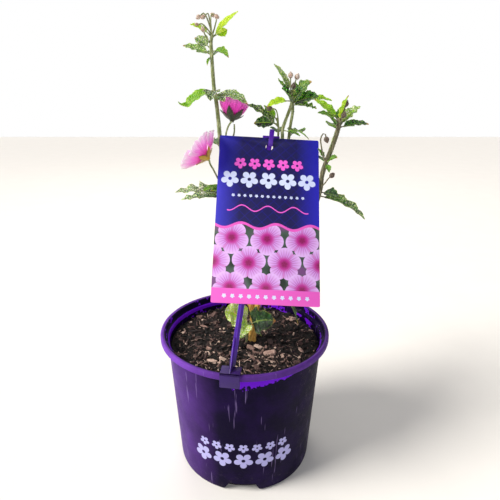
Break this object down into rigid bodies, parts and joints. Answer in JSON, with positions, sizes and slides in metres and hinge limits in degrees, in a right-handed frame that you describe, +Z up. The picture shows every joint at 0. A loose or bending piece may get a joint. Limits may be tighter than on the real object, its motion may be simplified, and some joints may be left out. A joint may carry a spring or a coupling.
{
  "type": "potted cape mallow",
  "caption": "Young shrubby mallow with crinkled lobed leaves and pink funnel-shaped flowers, growing in a nursery pot with a label card on a stake clipped to the rim.",
  "frame": {"origin": "middle of the pot's flat foot, where it rests", "axes": "+Z up along the pot's axis, -Y the side that the label card faces, +X to the right seen from there"},
  "size_m": [0.1685, 0.1504, 0.3651],
  "materials": {
    "pot_plastic": "moulded dark violet polypropylene, scuffed and dusty",
    "bark_mix": "dark fine potting mix with bark chips",
    "stake_plastic": "moulded bright purple plastic, satin",
    "card_sheet": "printed plastic sheet, satin",
    "woody_stem": "young ochre-brown bark",
    "leaf": "green leaf tissue with short pale hairs",
    "petal": "pink petals, veined, paler at the rim",
    "stamen_column": "pale column of joined stamens"
  },
  "bodies": {
    "root": {"pot": "pot_plastic", "potting_mix": "bark_mix", "label_stake": "stake_plastic", "label_card": "card_sheet", "trunk": "woody_stem", "stem_left": "leaf", "stem_centre": "leaf", "stem_right": "leaf", "stem_low": "leaf", "petals_left": "petal", "petals_middle": "petal", "column_left": "stamen_column", "column_middle": "stamen_column"}
  },
  "joints": []
}
